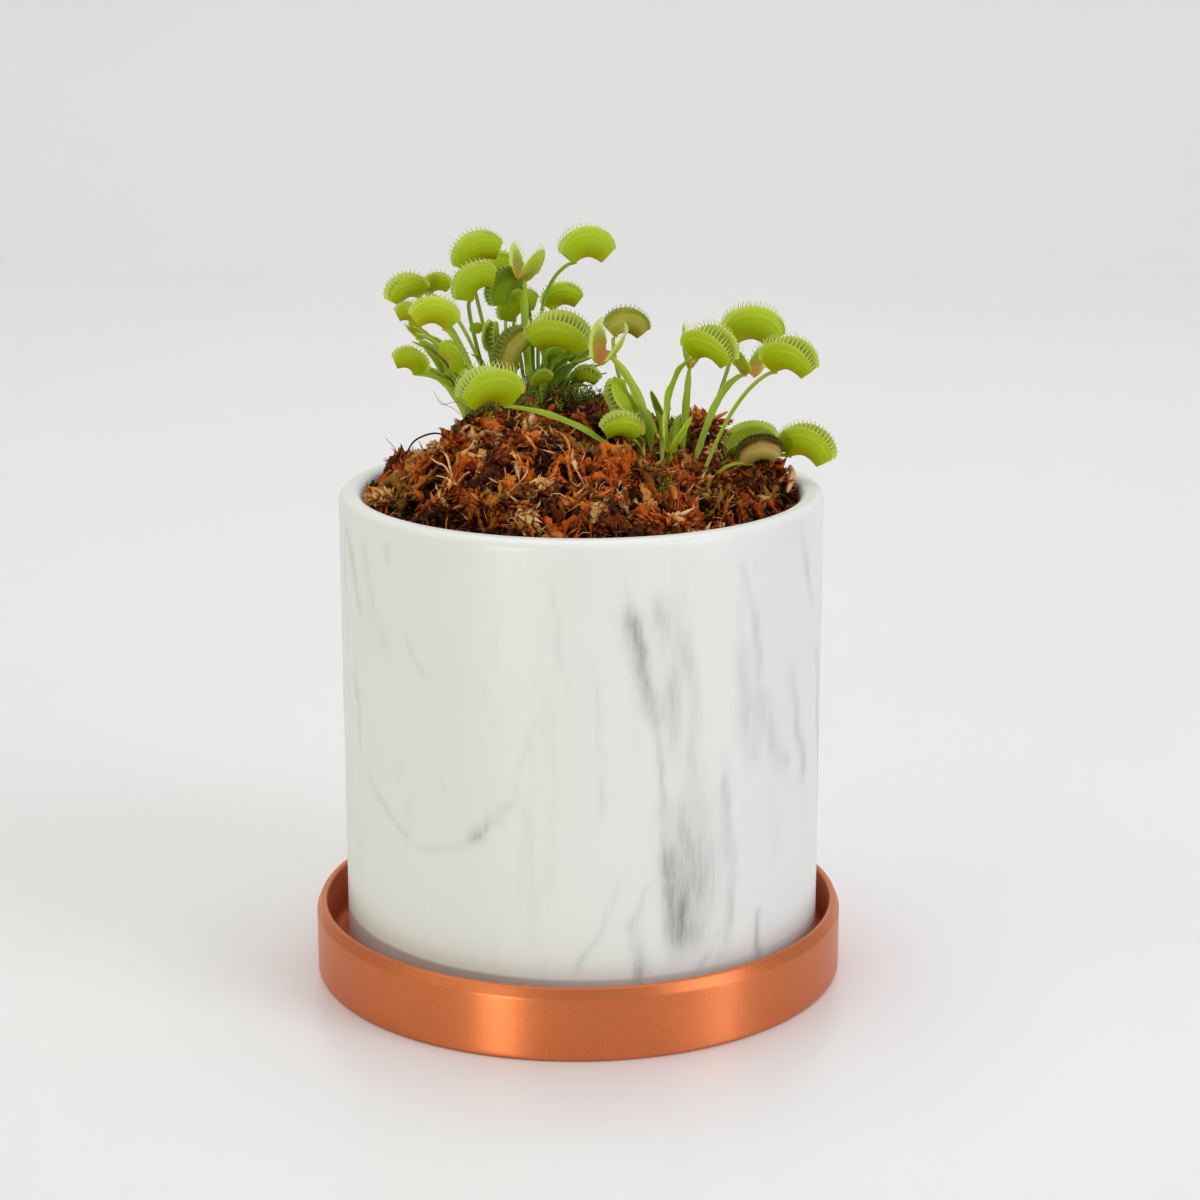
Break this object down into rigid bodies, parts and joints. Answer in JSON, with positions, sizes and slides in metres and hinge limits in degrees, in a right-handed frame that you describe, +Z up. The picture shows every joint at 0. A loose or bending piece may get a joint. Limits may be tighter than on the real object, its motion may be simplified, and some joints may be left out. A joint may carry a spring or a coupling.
{
  "type": "potted venus flytrap",
  "caption": "Carnivorous plant with toothed, hinged traps on slender winged stalks, growing from moss in a straight cylinder pot on a round saucer.",
  "frame": {"origin": "middle of the saucer's foot, on the surface it stands on", "axes": "+Z up; the picture looks along +Y, with +X to the right"},
  "size_m": [0.134, 0.134, 0.1869],
  "materials": {
    "saucer": "satin copper lustre",
    "pot": "satin, grey marble veins",
    "moss": "dried long fibres",
    "rhizome": "matt",
    "leaf": "satin",
    "withered": "matt"
  },
  "bodies": {
    "root": {"leaf_left_01": "leaf", "leaf_left_02": "leaf", "leaf_left_03": "leaf", "leaf_left_04": "leaf", "leaf_left_05": "leaf", "leaf_left_06": "leaf", "leaf_left_07": "leaf", "leaf_left_08": "leaf", "leaf_left_09": "leaf", "leaf_left_10": "leaf", "leaf_left_11": "leaf", "leaf_left_12": "leaf", "leaf_left_13": "leaf", "leaf_middle_01": "leaf", "leaf_middle_02": "leaf", "leaf_middle_03": "leaf", "leaf_middle_04": "leaf", "leaf_middle_05": "leaf", "leaf_middle_06": "leaf", "leaf_middle_07": "leaf", "leaf_middle_08": "leaf", "leaf_middle_09": "leaf", "leaf_middle_10": "leaf", "leaf_middle_11": "leaf", "leaf_right_01": "leaf", "leaf_right_02": "leaf", "leaf_right_03": "leaf", "leaf_right_04": "leaf", "leaf_right_05": "leaf", "leaf_right_06": "leaf", "leaf_right_07": "leaf", "leaf_right_08": "leaf", "leaf_right_09": "leaf", "leaf_right_10": "leaf", "leaf_right_11": "leaf", "leaf_right_12": "leaf", "leaf_right_13": "leaf", "leaf_right_14": "leaf", "leaf_right_15": "leaf", "moss_bed": "moss", "pot": "pot", "rhizome_left": "rhizome", "rhizome_middle": "rhizome", "rhizome_right": "rhizome", "saucer": "saucer", "withered_leaf": "withered"}
  },
  "joints": []
}
